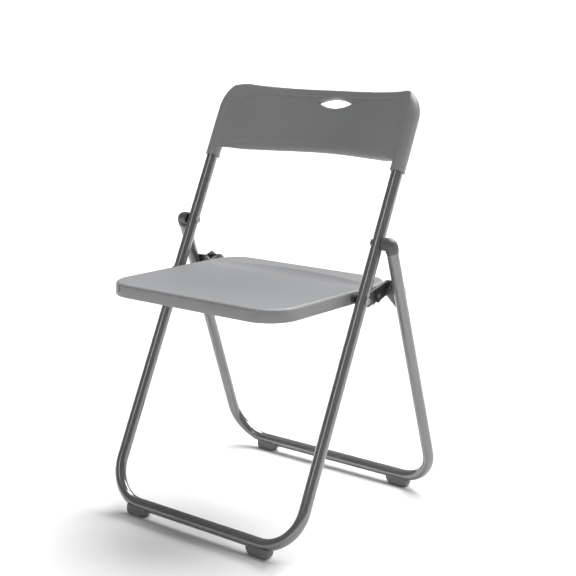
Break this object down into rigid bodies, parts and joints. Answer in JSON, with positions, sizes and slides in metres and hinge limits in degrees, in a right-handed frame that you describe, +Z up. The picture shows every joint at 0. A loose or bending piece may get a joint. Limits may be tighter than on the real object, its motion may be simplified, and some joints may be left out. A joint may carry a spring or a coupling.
{
  "type": "folding chair",
  "caption": "Folding chair: bent-tube front and rear frames, moulded seat, curved backrest with a hand hole; seat and rear legs fold flat together.",
  "frame": {"origin": "on the floor, under the middle of the open chair's outer box", "axes": "+X the chair's right as seen from the front, +Y to the rear, +Z up"},
  "size_m": [0.5188, 0.468, 0.7912],
  "materials": {
    "tube_paint": "smooth grey powder coat with a soft gloss",
    "grey_plastic": "moulded grey plastic with a fine matt grain",
    "foot_plastic": "moulded grey plastic",
    "elbow_plastic": "dark grey moulded plastic",
    "dark_plastic": "near-black moulded plastic",
    "dark_steel": "dark grey coated pressed steel",
    "bright_steel": "zinc-plated steel"
  },
  "bodies": {
    "front_frame": {"front_tube": "tube_paint", "backrest": "grey_plastic", "left_backrest_screw": "bright_steel", "left_main_pin": "bright_steel", "left_main_washer": "dark_plastic", "left_seat_pin": "bright_steel", "left_seat_spacer": "dark_plastic", "front_left_foot": "foot_plastic", "front_left_foot_screw": "bright_steel", "right_backrest_screw": "bright_steel", "right_main_pin": "bright_steel", "right_main_washer": "dark_plastic", "right_seat_pin": "bright_steel", "right_seat_spacer": "dark_plastic", "front_right_foot": "foot_plastic", "front_right_foot_screw": "bright_steel"},
    "rear_frame": {"rear_tube": "tube_paint", "left_elbow": "elbow_plastic", "left_rear_bracket": "dark_steel", "left_bracket_rivet_1": "bright_steel", "left_bracket_rivet_2": "bright_steel", "left_link_knob": "dark_plastic", "left_link_pivot_pin": "bright_steel", "rear_left_foot": "foot_plastic", "rear_left_foot_screw": "bright_steel", "right_elbow": "elbow_plastic", "right_rear_bracket": "dark_steel", "right_bracket_rivet_1": "bright_steel", "right_bracket_rivet_2": "bright_steel", "right_link_knob": "dark_plastic", "right_link_pivot_pin": "bright_steel", "rear_right_foot": "foot_plastic", "rear_right_foot_screw": "bright_steel"},
    "seat": {"seat": "grey_plastic", "left_seat_bracket": "dark_steel", "left_seat_bracket_screw_1": "bright_steel", "left_seat_bracket_screw_2": "bright_steel", "right_seat_bracket": "dark_steel", "right_seat_bracket_screw_1": "bright_steel", "right_seat_bracket_screw_2": "bright_steel"},
    "left_link": {"left_link": "dark_steel", "left_link_cover": "dark_plastic", "left_link_cover_rivet": "bright_steel", "left_link_seat_pin": "bright_steel"},
    "right_link": {"right_link": "dark_steel", "right_link_cover": "dark_plastic", "right_link_cover_rivet": "bright_steel", "right_link_seat_pin": "bright_steel"}
  },
  "joints": [
    {"name": "rear_fold", "type": "hinge", "parent": "front_frame", "child": "rear_frame", "pos_m": [0, 0.04174, 0.52772], "axis": [-1, 0, 0], "range_deg": [0, 42]},
    {"name": "seat_fold", "type": "hinge", "parent": "front_frame", "child": "seat", "pos_m": [0, -0.00583, 0.432], "axis": [-1, 0, 0], "range_deg": [0, 115.01]},
    {"name": "left_link_turn", "type": "hinge", "parent": "rear_frame", "child": "left_link", "pos_m": [-0.2025, 0.1004, 0.43587], "axis": [1, 0, 0], "range_deg": [0, 50.52]},
    {"name": "right_link_turn", "type": "hinge", "parent": "rear_frame", "child": "right_link", "pos_m": [0.2025, 0.1004, 0.43587], "axis": [1, 0, 0], "range_deg": [0, 50.52]}
  ],
  "couplings": [
    {"joint": "seat_fold", "follows": "rear_fold", "ratio": 2.7381},
    {"joint": "left_link_turn", "follows": "rear_fold", "ratio": 1.2025},
    {"joint": "right_link_turn", "follows": "rear_fold", "ratio": 1.2025}
  ]
}
